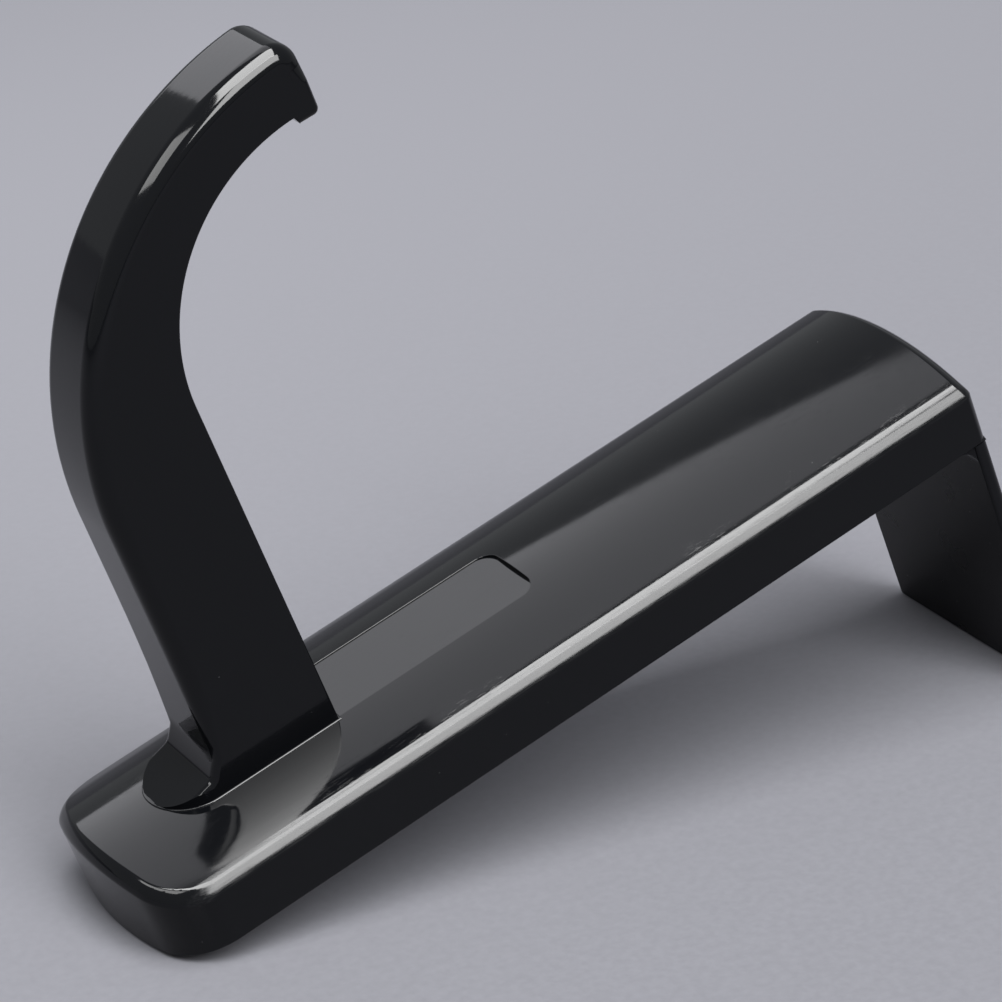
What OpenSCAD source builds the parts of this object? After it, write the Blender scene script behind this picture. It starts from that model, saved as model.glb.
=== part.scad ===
// Headphone stand: a crowned base with a leg at one end and a curved hook that carries the headband.
// Each piece is drawn flat, along +X from nose to leg, with the base's underside at Z = 0. The whole
// assembly is then tilted so that it stands on the nose and on the leg's tip, as it does on a desk.

/* [Base] */
// Length of the base, from the nose to the leg's outer face
base_length = 131.5; // [120:0.5:150]
// Width of the base and of the leg
base_width = 36; // [34:1:44]
// Height of the upright sides, where the top edge starts to roll over
side_height = 7.8; // [7:0.1:9]
// Height of the crown along the middle of the base
crown_height = 12.7; // [12:0.1:15]
// Radius of the roll between side and crown
edge_roll = 1.4; // [1:0.1:2]
// Thickness of the base's moulded wall
wall = 2; // [1.6:0.1:2.4]
// Radius of the gentle bow of the nose, seen from above
nose_bow = 48; // [40:1:80]
// Radius of the two nose corners, seen from above
nose_corner = 5; // [4:0.5:8]
// Radius of the rolled edge where the crown meets the end wall
end_roll = 1.8; // [1:0.1:2.2]

/* [Label recess] */
// End of the label recess, measured from the nose
recess_end = 68.2; // [50:0.5:75]
// Width of the label recess
recess_width = 12.8; // [8:0.2:14]
// Depth of the label recess
recess_depth = 0.4; // [0.2:0.1:0.6]
// Corner radius of the label recess
recess_corner = 2.5; // [1:0.5:4]

/* [Leg] */
// Depth of the leg below the base's underside
leg_depth = 42; // [30:0.5:50]
// Thickness of the leg
leg_thickness = 2.2; // [2:0.1:3]
// Radius of the fillet between the leg and the bracket's floor
leg_root = 3; // [1:0.5:4]

/* [Hook] */
// Thickness of the hook from side to side
hook_width = 12.6; // [11:0.2:16]
// Distance from the nose to the hook's spine
spine_x = 19.4; // [18:0.2:22]
// Distance from the nose to the edge that faces the headband
cradle_x = 35.6; // [34:0.2:38]
// Height above the underside at which the spine starts to curve
spine_bend_z = 51.5; // [48:0.5:54]
// Radius of the hook's spine
spine_radius = 47; // [45:0.5:48]
// Height at which the headband edge starts to curve
cradle_bend_z = 62.4; // [60:0.2:64]
// Radius of the headband edge
cradle_radius = 26.8; // [25:0.2:28]
// Distance from the nose to the hook's end face
tip_x = 64.6; // [63:0.2:66]
// Radius of the rounded edges along the spine
spine_round = 1.8; // [1:0.1:2.6]
// Radius of the rounded outer corner of the tip
tip_round = 2.2; // [1:0.1:3]
// Thickness of the hook's end wall
tip_wall = 2.6; // [2:0.1:3.2]
// How far the end wall's lip stands below the headband edge
tip_lip = 0.8; // [0.4:0.1:1.2]
// Radius of the concave ramp behind the spine's foot
foot_ramp = 9; // [6:0.5:10]
// Side wall thickness of the hollow hook
hook_side = 2.2; // [1.8:0.1:2.6]
// Spine wall thickness of the hollow hook
hook_back = 2.4; // [2:0.1:3]

/* [Headband cover] */
// Thickness of the cover strip that closes the hollow hook
cover_thickness = 1.9; // [1.4:0.1:2.4]
// Depth of the cover strip below the hook's side walls
cover_set = 0.3; // [0:0.1:0.6]
// Diameter of the cover's pegs
peg_diameter = 2.4; // [2:0.1:2.8]

/* [Fasteners] */
// Diameter of a screw's shank, and of the bore that it taps
screw_diameter = 2.9; // [2.5:0.1:3]
// Diameter of the hook screws' pan heads
pan_head = 5.4; // [5:0.1:5.8]
// Diameter of the bracket screws' countersunk heads
sunk_head = 5.6; // [5:0.1:6]

/* [Adhesive pads] */
// Thickness of a foam pad
pad_thickness = 1.1; // [0.8:0.1:1.5]
// Width of a foam pad
pad_width = 27; // [20:0.5:29]
// Thickness of the release liner
liner_thickness = 0.16; // [0.12:0.02:0.2]

/* [Hidden] */
$fn = 96;

gloss_black = [0.05, 0.05, 0.06];
satin_black = [0.09, 0.09, 0.10];
zinc_grey = [0.62, 0.63, 0.66];
foam_grey = [0.22, 0.22, 0.24];
liner_white = [0.88, 0.90, 0.92];

half_width = base_width / 2;
// The crown is an arc of crown_radius that runs tangent into the rolled edge on each side
roll_y = half_width - edge_roll;
crown_rise = crown_height - side_height;
crown_radius = (roll_y * roll_y + crown_rise * crown_rise - edge_roll * edge_roll)
             / (2 * (crown_rise - edge_roll));
crown_centre = crown_height - crown_radius;
roll_angle = atan2(roll_y, side_height - crown_centre);

// Corner circles are set out by this much, so that they cross the arc they meet and don't only touch it
corner_lead = 0.03;
corner_y = half_width - nose_corner;
corner_x = nose_bow - corner_lead - sqrt(pow(nose_bow - nose_corner, 2) - corner_y * corner_y);

leg_inner_x = base_length - leg_thickness;
tilt = atan2(leg_depth, leg_inner_x);
low_x = -crown_height * sin(tilt);
high_x = base_length * cos(tilt) + leg_depth * sin(tilt);

gap = 0.2;                  // clearance between loose-fitting mouldings
slip = 0.02;                // radial clearance of a shank in its bore
thick = 60;                 // longer than any cut needs to be

// Bracket floor, set up inside the rim so that the pads sit in a shallow tray
floor_z = 0.6;
floor_thickness = 2;
floor_top = floor_z + floor_thickness;
bracket_screw_x = [13, 120];
bracket_screw_y = 9.5;
boss_diameter = 6.4;
shell_rib_x = [48, 76, 98];
rib_thickness = 1.4;

// Hook tenon, the socket that takes it and the two screws that draw it down
tenon_x = [22.4, 33.4];
tenon_half = 4;
socket_floor = [5, 6.6];
hook_screw_x = [25.1, 30.7];
hook_screw_reach = 7.5;
pan_height = 1.9;

// Inside of the hook
foot_web_z = 15.6;
spine_centre_x = spine_x + spine_radius;
cradle_centre_x = cradle_x + cradle_radius;
lip_x = tip_x - tip_wall;
hollow_half = hook_width / 2 - hook_side;
hook_rib_z = [28, 46];
hook_rib_angle = [157, 118];
peg_z = [22, 37, 55];
peg_angle = [138, 101];
peg_boss = 5.2;
peg_length = 4.5;

// Adhesive pads: [start, end] along the base
front_pad_x = [17.5, 62];
rear_pad_x = [70, 115.5];
pad_corner = 3;

// ---------------------------------------------------------------- shared outlines

// Stands the flat-drawn assembly on its nose and leg, centred over the origin
module seated() {
    translate([-(low_x + high_x) / 2, 0, 0])
        rotate([0, -tilt, 0])
            children();
}

// Draws a side-view outline, given as X and Z, and extrudes it to a width centred on Y = 0
module side_slab(width) {
    translate([0, width / 2, 0])
        rotate([90, 0, 0])
            linear_extrude(width)
                children();
}

// End-view outline of the base, drawn as Y and Z, inset by a wall thickness, with its foot at -drop
module base_section(inset, roll, drop) {
    arc = crown_radius - inset;
    roll_centre = half_width - inset - roll;
    roll_z = crown_centre + corner_lead + sqrt(pow(arc - roll, 2) - roll_centre * roll_centre);
    angle = atan2(roll_centre, roll_z - crown_centre);
    touch_y = arc * sin(angle);
    intersection() {
        translate([0, crown_centre]) circle(arc, $fn = 360);
        translate([-touch_y, 0]) square([2 * touch_y, crown_height + 1]);
    }
    for (side = [-1, 1])
        translate([side * roll_centre, roll_z]) circle(roll);
    translate([inset - half_width, -drop]) square([2 * (half_width - inset), roll_z + drop]);
}

// Plan outline of the base, inset by a wall thickness, from the nose to end_x
module base_plan(inset, end_x) {
    bow = nose_bow - inset;
    touch_y = corner_y * bow / (nose_bow - nose_corner);
    intersection() {
        translate([nose_bow, 0]) circle(bow, $fn = 360);
        translate([-1, -touch_y]) square([corner_x + 2, 2 * touch_y]);
    }
    for (side = [-1, 1])
        translate([corner_x, side * corner_y]) circle(nose_corner - inset);
    translate([corner_x, inset - half_width])
        square([end_x - corner_x, 2 * (half_width - inset)]);
}

// Solid of the base between nose and end_x, inset by a wall thickness
module base_block(inset, roll, end_x, drop) {
    intersection() {
        translate([-1, 0, 0])
            rotate([90, 0, 90])
                linear_extrude(end_x + 2)
                    base_section(inset, roll, drop);
        translate([0, 0, -drop - 1])
            linear_extrude(crown_height + drop + 2)
                base_plan(inset, end_x);
    }
}

// Round-cornered rectangle that runs from x[0] to x[1], centred on Y = 0
module pad_outline(x, width, corner) {
    for (end = [x[0] + corner, x[1] - corner], side = [-1, 1])
        translate([end, side * (width / 2 - corner)]) circle(corner);
    translate([x[0] + corner, -width / 2]) square([x[1] - x[0] - 2 * corner, width]);
    translate([x[0], corner - width / 2]) square([x[1] - x[0], width - 2 * corner]);
}

// ---------------------------------------------------------------- base shell

// Ring that rounds the edge where the crown meets the end wall
module end_edge_cutter() {
    translate([base_length, 0, crown_centre])
        rotate([0, -90, 0])
            rotate_extrude($fn = 360)
                difference() {
                    translate([crown_radius - end_roll, -1]) square([end_roll + 1, end_roll + 1]);
                    translate([crown_radius - end_roll, end_roll]) circle(end_roll);
                }
}

module label_recess() {
    intersection() {
        translate([0, 0, crown_centre])
            rotate([0, 90, 0])
                difference() {
                    cylinder(h = base_length, r = crown_radius + 1, $fn = 360);
                    cylinder(h = base_length, r = crown_radius - recess_depth, $fn = 360);
                }
        translate([0, 0, side_height])
            linear_extrude(crown_height)
                pad_outline([cradle_x - gap, recess_end], recess_width, recess_corner);
    }
}

module hook_socket() {
    socket_wall = 1.6;
    length = tenon_x[1] - tenon_x[0] + 2 * (gap + socket_wall);
    width = 2 * (tenon_half + gap + socket_wall);
    translate([tenon_x[0] - gap - socket_wall, -width / 2, socket_floor[0]])
        cube([length, width, crown_height - socket_floor[0]]);
}

module tenon_space(clearance) {
    translate([tenon_x[0] - clearance, -tenon_half - clearance, socket_floor[1]])
        cube([tenon_x[1] - tenon_x[0] + 2 * clearance, 2 * (tenon_half + clearance), crown_height]);
}

module shell_inner_works() {
    intersection() {
        base_block(wall / 2, edge_roll / 2, base_length - wall / 2, 0);
        union() {
            hook_socket();
            for (x = bracket_screw_x, side = [-1, 1])
                translate([x, side * bracket_screw_y, floor_top])
                    cylinder(h = crown_height, d = boss_diameter);
            for (x = shell_rib_x)
                translate([x, -half_width, floor_top + 1])
                    cube([rib_thickness, base_width, crown_height]);
        }
    }
}

module base_shell() {
    bore_depth = 6;
    color(gloss_black)
        seated()
            difference() {
                union() {
                    difference() {
                        base_block(0, edge_roll, base_length, 0);
                        base_block(wall, edge_roll / 4, leg_inner_x, 1);
                        end_edge_cutter();
                    }
                    shell_inner_works();
                }
                tenon_space(gap);
                for (x = hook_screw_x)
                    translate([x, 0, 0]) cylinder(h = crown_height, d = screw_diameter + gap);
                for (x = bracket_screw_x, side = [-1, 1])
                    translate([x, side * bracket_screw_y, 0])
                        cylinder(h = floor_top + bore_depth, d = screw_diameter);
                label_recess();
            }
}

// ---------------------------------------------------------------- leg bracket

module leg_outline() {
    corner = 1;
    for (side = [-1, 1])
        translate([side * (half_width - corner), corner - leg_depth]) circle(corner);
    translate([corner - half_width, -leg_depth]) square([base_width - 2 * corner, leg_depth]);
    translate([-half_width, corner - leg_depth]) square([base_width, leg_depth - corner]);
}

module leg_bracket() {
    floor_end = leg_inner_x - gap;
    root_width = 2 * (half_width - wall - gap);
    color(satin_black)
        seated()
            difference() {
                union() {
                    translate([0, 0, floor_z])
                        linear_extrude(floor_thickness)
                            intersection() {
                                base_plan(wall + gap, base_length);
                                translate([0, -half_width]) square([floor_end, base_width]);
                            }
                    translate([leg_inner_x, 0, 0])
                        rotate([90, 0, 90])
                            linear_extrude(leg_thickness)
                                leg_outline();
                    side_slab(root_width)
                        polygon([[leg_inner_x - leg_root, floor_top], [leg_inner_x - leg_root, 0],
                                 [leg_inner_x, -leg_root], [leg_inner_x + gap, -leg_root],
                                 [leg_inner_x + gap, 0], [floor_end, 0], [floor_end, floor_top]]);
                    for (side = [-1, 1])
                        translate([tenon_x[1] + 6, side * 6 - rib_thickness / 2, floor_top])
                            cube([shell_rib_x[2] - tenon_x[1] + 12, rib_thickness, 0.8]);
                }
                translate([leg_inner_x - leg_root, 0, -leg_root])
                    rotate([90, 0, 0])
                        cylinder(h = thick, r = leg_root, center = true);
                for (x = bracket_screw_x, side = [-1, 1])
                    translate([x, side * bracket_screw_y, floor_z]) {
                        cylinder(h = thick, d = screw_diameter + gap);
                        screw_cone(sunk_head + gap);
                    }
            }
}

// ---------------------------------------------------------------- hook

// Side outline of the hook, without the foot's ramp
module hook_side_outline() {
    corner_centre_x = tip_x - tip_round;
    corner_centre_z = spine_bend_z
                    + sqrt(pow(spine_radius - tip_round, 2) - pow(spine_centre_x - corner_centre_x, 2));
    reach = spine_radius / (spine_radius - tip_round);
    touch = [spine_centre_x + (corner_centre_x - spine_centre_x) * reach,
             spine_bend_z + (corner_centre_z - spine_bend_z) * reach];
    lip_z = cradle_bend_z + cradle_radius - tip_lip;
    difference() {
        union() {
            translate([spine_x, crown_centre + crown_radius - crown_rise])
                square([cradle_x - spine_x, spine_bend_z - side_height]);
            intersection() {
                translate([spine_centre_x, spine_bend_z]) circle(spine_radius, $fn = 360);
                translate([0, spine_bend_z]) square([touch[0], thick]);
            }
            translate([corner_centre_x, corner_centre_z]) circle(tip_round);
            polygon([[touch[0], spine_bend_z], touch, [corner_centre_x, corner_centre_z],
                     [tip_x, corner_centre_z], [tip_x, spine_bend_z]]);
        }
        translate([cradle_x, 0]) square([thick, cradle_bend_z]);
        translate([cradle_centre_x, cradle_bend_z]) circle(cradle_radius, $fn = 360);
        translate([cradle_centre_x, cradle_bend_z - 1]) square([thick, lip_z - cradle_bend_z + 1]);
    }
}

// Hook's outer body, with the edges along the spine rounded
module hook_envelope() {
    inner_half = hook_width / 2 - spine_round;
    translate([spine_x + spine_round, -inner_half, 0])
        cube([spine_radius, 2 * inner_half, spine_bend_z]);
    translate([spine_x + spine_round, -hook_width / 2, 0])
        cube([spine_radius, hook_width, spine_bend_z]);
    translate([spine_x, -inner_half, 0])
        cube([spine_radius, 2 * inner_half, spine_bend_z]);
    for (side = [-1, 1])
        translate([spine_x + spine_round, side * inner_half, 0])
            cylinder(h = spine_bend_z, r = spine_round);
    translate([spine_centre_x, 0, spine_bend_z])
        rotate([90, 0, 0])
            rotate_extrude($fn = 360) {
                translate([0, -hook_width / 2]) square([spine_radius - spine_round, hook_width]);
                translate([0, -inner_half]) square([spine_radius, 2 * inner_half]);
                for (side = [-1, 1])
                    translate([spine_radius - spine_round, side * inner_half]) circle(spine_round);
            }
}

// Concave ramp that spreads the spine's load onto the crown behind it
module foot_ramp_block() {
    ramp_top = crown_height + foot_ramp;
    ramp_corner = 4;
    intersection() {
        difference() {
            side_slab(hook_width)
                polygon([[spine_x - foot_ramp, side_height], [spine_x + spine_round + 1, side_height],
                         [spine_x + spine_round + 1, ramp_top], [spine_x - foot_ramp, ramp_top]]);
            translate([spine_x - foot_ramp, 0, ramp_top])
                rotate([90, 0, 0])
                    cylinder(h = thick, r = foot_ramp, center = true);
            translate([spine_x - foot_ramp - 1, -thick / 2, ramp_top - 0.01])
                cube([foot_ramp + 1, thick, thick]);
        }
        translate([0, 0, side_height])
            linear_extrude(thick)
                pad_outline([spine_x - foot_ramp, cradle_x], hook_width, ramp_corner);
    }
}

module hook_hollow() {
    side_slab(2 * hollow_half)
        difference() {
            union() {
                translate([spine_x + hook_back, foot_web_z])
                    square([thick, spine_bend_z - foot_web_z]);
                intersection() {
                    translate([spine_centre_x, spine_bend_z])
                        circle(spine_radius - hook_back, $fn = 360);
                    translate([0, spine_bend_z - 1]) square([lip_x, thick]);
                }
            }
            translate([lip_x, 0]) square([thick, 2 * thick]);
        }
}

// Everything on the spine's side of the cover strip's back face
module behind_cover() {
    back = cover_set + cover_thickness;
    side_slab(hook_width)
        difference() {
            translate([0, side_height]) square([lip_x, 2 * thick]);
            translate([cradle_x - back, 0]) square([thick, cradle_bend_z]);
            translate([cradle_centre_x, cradle_bend_z]) circle(cradle_radius + back, $fn = 360);
        }
}

// Places a peg or boss on the headband edge, pointing out of the hook
module at_straight_peg(z) {
    translate([cradle_x - cover_set - cover_thickness, 0, z])
        rotate([0, -90, 0])
            children();
}

module at_curved_peg(angle) {
    translate([cradle_centre_x, 0, cradle_bend_z])
        rotate([0, -angle, 0])
            translate([cradle_radius + cover_set + cover_thickness, 0, 0])
                rotate([0, 90, 0])
                    children();
}

module every_peg() {
    for (z = peg_z)
        at_straight_peg(z) children();
    for (angle = peg_angle)
        at_curved_peg(angle) children();
}

module hook_inner_works() {
    intersection() {
        intersection() {
            side_slab(2 * hollow_half + 1) hook_side_outline();
            behind_cover();
        }
        union() {
            every_peg() cylinder(h = spine_radius / 2, d = peg_boss);
            for (z = hook_rib_z)
                translate([spine_x + 1, -hollow_half - 0.5, z])
                    cube([cradle_x - spine_x, 2 * hollow_half + 1, rib_thickness]);
            for (angle = hook_rib_angle)
                translate([cradle_centre_x, 0, cradle_bend_z])
                    rotate([0, -angle, 0])
                        translate([cradle_radius, -hollow_half - 0.5, 0])
                            cube([spine_radius / 2, 2 * hollow_half + 1, rib_thickness]);
        }
    }
}

module hook() {
    color(gloss_black)
        seated()
            difference() {
                union() {
                    difference() {
                        union() {
                            intersection() {
                                side_slab(hook_width) hook_side_outline();
                                hook_envelope();
                            }
                            foot_ramp_block();
                        }
                        hook_hollow();
                        translate([0, 0, crown_centre])
                            rotate([0, 90, 0])
                                cylinder(h = thick, r = crown_radius, $fn = 360);
                    }
                    intersection() {
                        tenon_space(0);
                        translate([0, -thick / 2, 0]) cube([thick, thick, foot_web_z]);
                    }
                    hook_inner_works();
                }
                every_peg() translate([0, 0, -1]) cylinder(h = peg_length + 1.5, d = peg_diameter);
                for (x = hook_screw_x)
                    translate([x, 0, 0])
                        cylinder(h = socket_floor[0] + hook_screw_reach + 0.5, d = screw_diameter);
            }
}

// ---------------------------------------------------------------- headband cover

module headband_cover() {
    cover_end = gap;
    outer = cradle_radius + cover_set + cover_thickness;
    inner = cradle_radius + cover_set;
    color(satin_black)
        seated() {
            side_slab(2 * (hollow_half - gap / 2)) {
                translate([cradle_x - cover_set - cover_thickness, foot_web_z + cover_end])
                    square([cover_thickness, cradle_bend_z - foot_web_z - cover_end]);
                intersection() {
                    translate([cradle_centre_x, cradle_bend_z])
                        difference() {
                            circle(outer, $fn = 360);
                            circle(inner, $fn = 360);
                        }
                    translate([0, cradle_bend_z]) square([lip_x - cover_end, thick]);
                }
            }
            every_peg()
                translate([0, 0, -cover_thickness / 2])
                    cylinder(h = peg_length + cover_thickness / 2, d = peg_diameter - 2 * slip);
        }
}

// ---------------------------------------------------------------- fasteners

// Countersunk head, wide face down
module screw_cone(head) {
    cylinder(h = (head - screw_diameter) / 2, d1 = head, d2 = screw_diameter);
}

module cross_slot() {
    slot = [3, 0.7, 1];
    for (turn = [0, 90])
        rotate([0, 0, turn])
            translate([0, 0, slot[2] / 2 - 0.1])
                cube(slot, center = true);
}

// Screw that points up from Z = 0, its head given by the children
module screw(reach) {
    point = 1.2;
    difference() {
        union() {
            children();
            cylinder(h = reach - point, d = screw_diameter - 2 * slip);
            translate([0, 0, reach - point])
                cylinder(h = point, d1 = screw_diameter - 2 * slip, d2 = 1);
        }
        cross_slot();
    }
}

module hook_screws() {
    color(zinc_grey)
        seated()
            for (x = hook_screw_x)
                translate([x, 0, socket_floor[0] - pan_height])
                    screw(hook_screw_reach + pan_height)
                        cylinder(h = pan_height, d = pan_head);
}

module bracket_screws() {
    bracket_screw_reach = 7.4;
    color(zinc_grey)
        seated()
            for (x = bracket_screw_x, side = [-1, 1])
                translate([x, side * bracket_screw_y, floor_z])
                    screw(bracket_screw_reach)
                        screw_cone(sunk_head);
}

// ---------------------------------------------------------------- adhesive pads

module foam_pad(x) {
    color(foam_grey)
        seated()
            translate([0, 0, floor_z - pad_thickness])
                linear_extrude(pad_thickness)
                    pad_outline(x, pad_width, pad_corner);
}

// Liner with a small tab past the pad's end, for peeling it off
module pad_liner(x) {
    tab = [5, 9];
    color(liner_white)
        seated()
            translate([0, 0, floor_z - pad_thickness - liner_thickness])
                linear_extrude(liner_thickness) {
                    pad_outline(x, pad_width, pad_corner);
                    translate([x[1] - 1, -tab[1] / 2]) square([tab[0] + 1, tab[1]]);
                }
}

module front_foam_pad() {
    foam_pad(front_pad_x);
}

module rear_foam_pad() {
    foam_pad(rear_pad_x);
}

module front_pad_liner() {
    pad_liner(front_pad_x);
}

module rear_pad_liner() {
    pad_liner(rear_pad_x);
}

base_shell();
leg_bracket();
hook();
headband_cover();
hook_screws();
bracket_screws();
front_foam_pad();
rear_foam_pad();
front_pad_liner();
rear_pad_liner();
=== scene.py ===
"""Headphone stand: the looks of its crowned base, leg bracket, headband hook, screws and foam pads.

Each piece is modelled lying flat, in millimetres: +X runs from the nose to the leg and the base's
underside is at Z = 0. A finished piece is scaled to metres and tilted onto its nose and its leg.
"""

import math
from types import SimpleNamespace

import bmesh
import bpy
from mathutils import Matrix, Vector


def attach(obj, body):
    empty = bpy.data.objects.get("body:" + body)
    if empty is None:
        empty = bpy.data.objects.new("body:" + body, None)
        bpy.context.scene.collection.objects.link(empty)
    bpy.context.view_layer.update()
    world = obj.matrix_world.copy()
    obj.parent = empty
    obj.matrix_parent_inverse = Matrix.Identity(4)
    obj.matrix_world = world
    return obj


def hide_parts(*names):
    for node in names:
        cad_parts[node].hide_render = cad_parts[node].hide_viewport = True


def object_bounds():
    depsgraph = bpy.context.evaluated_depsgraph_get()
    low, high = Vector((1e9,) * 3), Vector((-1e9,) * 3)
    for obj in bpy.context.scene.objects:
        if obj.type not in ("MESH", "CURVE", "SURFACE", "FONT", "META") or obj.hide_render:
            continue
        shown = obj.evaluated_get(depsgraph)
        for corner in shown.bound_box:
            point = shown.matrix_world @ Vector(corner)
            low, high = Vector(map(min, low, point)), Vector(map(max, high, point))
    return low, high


bl_info = {
    "name": "Headphone Stand",
    "version": (1, 0, 0),
    "blender": (4, 5, 0),
    "location": "3D View > Sidebar > Headphone Stand",
    "description": "Models and finishes a stick-on headphone stand round its engineering frame",
    "category": "Object",
}

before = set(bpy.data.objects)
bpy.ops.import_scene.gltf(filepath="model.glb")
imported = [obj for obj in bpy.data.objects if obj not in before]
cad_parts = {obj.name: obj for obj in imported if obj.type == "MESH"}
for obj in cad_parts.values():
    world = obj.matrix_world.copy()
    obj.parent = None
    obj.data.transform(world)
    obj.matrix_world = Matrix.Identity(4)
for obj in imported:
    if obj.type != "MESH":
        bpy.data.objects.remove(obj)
CAD_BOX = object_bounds()
BODY = "root"
MM = 0.001

# In millimetres: how close points are merged, how close places count as one, and how far one solid
# reaches into another that it joins
MERGE_WITHIN, NEAR, OVERLAP = 1e-4, 0.1, 0.05
# An edge is rounded as if its faces turned by this at most, in radians
SHARPEST = 2
# Faces that meet at less than this are shaded smooth, in degrees
SMOOTH_BELOW = 32

# ------------------------------------------------------------------ sizes and colours


def length_property(name, description, millimetres):
    return bpy.props.FloatProperty(
        name=name, description=description, default=millimetres * MM, unit="LENGTH", precision=5
    )


def colour_property(name, description, colour):
    return bpy.props.FloatVectorProperty(
        name=name, description=description, default=colour, subtype="COLOR", size=3, min=0, max=1
    )


class StandBaseSizes(bpy.types.PropertyGroup):
    length: length_property("Length", "From the nose to the leg's outer face", 131.5)
    width: length_property("Width", "Width of the base and the leg", 36)
    side: length_property("Side height", "Height at which the unrolled crown meets it", 8.7)
    crown: length_property("Crown height", "Height along the middle", 12.7)
    side_roll: length_property("Side roll", "Width of the roll along the sides", 1.2)
    nose_roll: length_property("Nose roll", "Radius of the roll along the nose", 1.8)
    end_roll: length_property("End roll", "Radius of the roll above the end wall", 1.8)
    end_corner: length_property("End corner", "Radius of the upright edges at the leg", 1.2)
    nose_bow: length_property("Nose bow", "Plan radius of the nose", 48)
    nose_corner: length_property("Nose corner", "Plan radius of the nose's corners", 8.5)
    wall: length_property("Wall", "Thickness of the moulded wall", 2)
    recess_end: length_property("Recess end", "End of the bare label recess", 68.2)
    recess_width: length_property("Recess width", "Width of the label recess", 12.8)
    recess_depth: length_property("Recess depth", "Depth of the label recess", 0.65)
    recess_corner: length_property("Recess corner", "Corner radius of the label recess", 2.5)


class StandLegSizes(bpy.types.PropertyGroup):
    depth: length_property("Depth", "Depth of the leg below the base", 42)
    thickness: length_property("Thickness", "Thickness of the leg", 2.2)
    root: length_property("Root", "Radius of the fillet where the leg meets the floor", 3)
    floor: length_property("Floor", "Thickness of the bracket's floor", 2)
    floor_set: length_property("Floor set-up", "Height of the floor above the shell's rim", 0.6)
    pads: length_property("Pad thickness", "Thickness of a foam pad", 1.1)
    liner: length_property("Liner thickness", "Thickness of a release liner", 0.16)
    pad_width: length_property("Pad width", "Width of a foam pad", 27)
    screw_front: length_property("Front screws", "Distance from the nose to the front screws", 13)
    screw_rear: length_property("Rear screws", "Distance from the nose to the rear screws", 120)
    screw_side: length_property("Screw offset", "Distance of a screw from the middle", 9.5)
    screw_head: length_property("Screw seat", "Diameter of a countersink", 5.8)
    screw_bore: length_property("Screw bore", "Diameter of a screw's clearance bore", 3.1)


class StandHookSizes(bpy.types.PropertyGroup):
    foot_width: length_property("Foot width", "Thickness of the hook at the base", 13.9)
    tip_width: length_property("Tip width", "Thickness of the hook at its tip", 12.4)
    spine: length_property("Spine", "Distance from the nose to the spine", 19.5)
    cradle: length_property("Cradle", "Distance from the nose to the headband edge", 35.75)
    spine_bend: length_property("Spine bend", "Height at which the spine curves", 51.7)
    spine_radius: length_property("Spine radius", "Radius of the spine", 47.1)
    cradle_bend: length_property("Cradle bend", "Height at which the headband edge curves", 62.45)
    cradle_radius: length_property("Cradle radius", "Radius of the headband edge", 26.75)
    tip: length_property("Tip", "Distance from the nose to the end face", 65.2)
    tip_wall: length_property("Tip wall", "Thickness of the end wall", 3.1)
    tip_lip: length_property("Tip lip", "Depth of the lip below the headband edge", 1.3)
    lip_lean: length_property("Lip lean", "How far the lip's inner face leans over its depth", 0.6)
    spine_round: length_property("Spine rounding", "Radius of the edges along the spine", 2.4)
    tip_round: length_property("Tip rounding", "Radius of the rounded top of the tip", 3.1)
    end_round: length_property("End rounding", "Radius of the end face's upright edges", 1.0)
    flare: length_property("Spine flare", "Radius of the spine's slow flare above the foot", 480)
    flare_top: length_property("Flare top", "Height at which the flare starts", 38)
    flare_low: length_property("Flare end", "Height at which the flare meets the foot's ramp", 17)
    ramp: length_property("Foot ramp", "Radius of the concave ramp behind the foot", 1.5)
    foot_round: length_property("Foot round", "Radius of the spine's edges at the foot", 0.9)
    foot_lean: length_property("Foot lean", "How far the headband edge leans out at the base", 0.5)
    toe: length_property("Toe", "Distance from the nose to the foot's toe", 10.8)
    flange: length_property("Foot flange", "Width of the thin flange round the foot", 0.25)
    flange_height: length_property("Flange height", "Height of the flange above the crown", 0.15)
    toe_corner: length_property("Toe corner", "Plan radius of the toe's corners", 6.8)
    side_wall: length_property("Side wall", "Thickness of the hook's side walls", 2.2)
    cover: length_property("Cover", "Thickness of the headband cover", 1.9)
    cover_set: length_property("Cover set-in", "Depth of the cover below the side walls", 0.3)
    web: length_property("Foot web", "Height at which the hollow starts", 15.6)


class StandColours(bpy.types.PropertyGroup):
    gloss: colour_property("Glossy plastic", "Colour of base and hook", (0.0010, 0.0011, 0.0014))
    satin: colour_property("Satin plastic", "Colour of the leg bracket", (0.0016, 0.0017, 0.0021))
    dust: colour_property("Dust", "Colour of dust on the plastic", (0.30, 0.30, 0.31))
    steel: colour_property("Plated steel", "Colour of the screws", (0.60, 0.61, 0.64))
    foam: colour_property("Foam", "Colour of the foam pads", (0.035, 0.036, 0.040))
    liner: colour_property("Liner", "Colour of the release liners", (0.76, 0.79, 0.82))
    ground: colour_property("Floor", "Colour of the floor", (0.0770, 0.0773, 0.0853))


def in_millimetres(group):
    """A group's lengths as plain numbers of millimetres."""
    return SimpleNamespace(**{key: getattr(group, key) / MM for key in group.__annotations__})


def base_sizes():
    """The base's sizes, with the circles that its crown and its nose follow."""
    b = in_millimetres(bpy.context.scene.stand_base)
    b.half = b.width / 2
    rise = b.crown - b.side
    b.arc = (b.half**2 + rise**2) / (2 * rise)
    b.arc_centre = b.crown - b.arc
    b.corner_y = b.half - b.nose_corner
    b.corner_x = b.nose_bow - math.sqrt((b.nose_bow - b.nose_corner) ** 2 - b.corner_y**2)
    return b


def leg_sizes():
    return in_millimetres(bpy.context.scene.stand_leg)


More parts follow.
